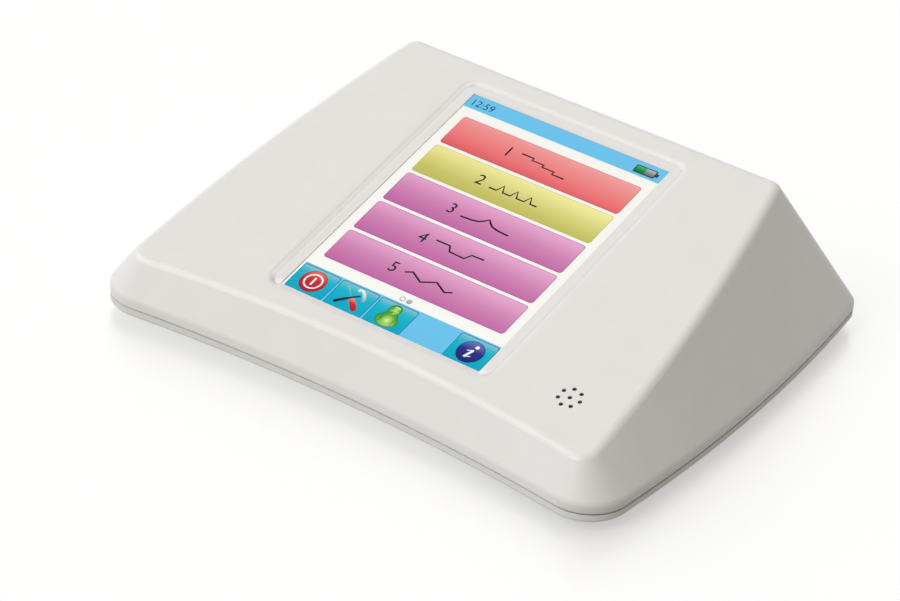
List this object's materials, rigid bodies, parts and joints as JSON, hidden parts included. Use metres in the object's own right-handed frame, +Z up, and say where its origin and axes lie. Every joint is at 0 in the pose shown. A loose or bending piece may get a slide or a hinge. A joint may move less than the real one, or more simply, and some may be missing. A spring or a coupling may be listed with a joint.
{
  "type": "tympanometer",
  "caption": "Desktop tympanometer: wedge housing with a recessed touch screen in its sloping top, air pump with lead screw and piston inside, and sockets in a rear niche.",
  "frame": {"origin": "on the table, under the middle of the housing's bounding box", "axes": "+X to the user's right, +Y from the user to the back, +Z up"},
  "size_m": [0.2248, 0.179, 0.0642],
  "materials": {
    "housing_plastic": "fine satin grain",
    "tray_plastic": "fine satin grain",
    "foot_rubber": "matt",
    "touch_glass": "polished",
    "display_picture": "lit picture under glass",
    "bracket_steel": "zinc-plated sheet",
    "screw_steel": "zinc-plated",
    "insert_brass": "turned",
    "panel_plastic": "moulded satin",
    "socket_plastic": "moulded",
    "button_plastic": "moulded satin",
    "socket_metal": "nickel-plated, turned",
    "board_laminate": "solder mask",
    "chip_plastic": "moulded",
    "header_plastic": "moulded",
    "can_steel": "tinned sheet",
    "ribbon_film": "polyimide film",
    "battery_wrap": "shrink wrap",
    "speaker_steel": "pressed and plated",
    "speaker_paper": "coated",
    "pump_alloy": "anodised",
    "pump_plastic": "machined acetal",
    "motor_steel": "plated can",
    "rod_steel": "ground",
    "valve_plastic": "moulded coil body",
    "tube_silicone": "silicone"
  },
  "bodies": {
    "housing": {"air_nozzle": "socket_metal", "battery_cover": "tray_plastic", "battery_cover_screw": "screw_steel", "battery_pack": "battery_wrap", "board_capacitors": "can_steel", "board_chips": "chip_plastic", "board_headers": "header_plastic", "board_screws": "screw_steel", "bracket_screws": "screw_steel", "cradle_screws": "screw_steel", "data_socket": "socket_metal", "display_bracket": "bracket_steel", "display_module": "display_picture", "display_ribbon": "ribbon_film", "earphone_jacks": "socket_plastic", "guide_rods": "rod_steel", "housing_screws": "screw_steel", "jack_nuts": "socket_metal", "lower_shell": "tray_plastic", "main_board": "board_laminate", "nozzle_nut": "socket_metal", "nozzle_tube": "tube_silicone", "panel_screws": "screw_steel", "power_socket": "socket_plastic", "power_switch": "socket_plastic", "pressure_sensor": "chip_plastic", "probe_contacts": "socket_plastic", "probe_nut": "socket_metal", "probe_socket": "socket_metal", "pump_cylinder": "pump_alloy", "pump_frame": "pump_alloy", "pump_gearbox": "insert_brass", "pump_head": "pump_plastic", "pump_motor": "motor_steel", "rear_panel": "panel_plastic", "rubber_feet": "foot_rubber", "screen_gasket": "foot_rubber", "sensor_tube": "tube_silicone", "shield_can": "can_steel", "socket_board": "board_laminate", "socket_board_screws": "screw_steel", "speaker_cone": "speaker_paper", "speaker_frame": "speaker_steel", "speaker_gasket": "foot_rubber", "threaded_inserts": "insert_brass", "tie_rods": "rod_steel", "touch_panel": "touch_glass", "upper_shell": "housing_plastic", "valve_body": "valve_plastic", "valve_spring": "motor_steel"},
    "screw_drive": {"lead_screw": "rod_steel", "screw_coupler": "pump_alloy"},
    "piston_carriage": {"carriage": "pump_plastic", "piston": "pump_plastic", "piston_seal": "foot_rubber"},
    "valve_core": {"valve_plunger": "motor_steel"},
    "button": {"power_button": "button_plastic"}
  },
  "joints": [
    {"name": "screw_turn", "type": "hinge", "parent": "housing", "child": "screw_drive", "pos_m": [-0.066, 0, 0.0205], "axis": [0, 1, 0], "range_deg": [-2160, 2160]},
    {"name": "piston_slide", "type": "slide", "parent": "housing", "child": "piston_carriage", "axis": [0, 1, 0], "range_m": [-0.009, 0.009]},
    {"name": "valve_slide", "type": "slide", "parent": "housing", "child": "valve_core", "axis": [0, 0, -1], "range_m": [0, 0.001], "stiffness_N_per_m": 600, "springref_m": -0.0005, "deforming": ["valve_spring"]},
    {"name": "power_button_press", "type": "slide", "parent": "housing", "child": "button", "axis": [0, -1, 0], "range_m": [0, 0.0012], "stiffness_N_per_m": 800, "springref_m": -0.0005}
  ],
  "couplings": [
    {"joint": "screw_turn", "follows": "piston_slide", "rad_per_m": -4188.8}
  ]
}
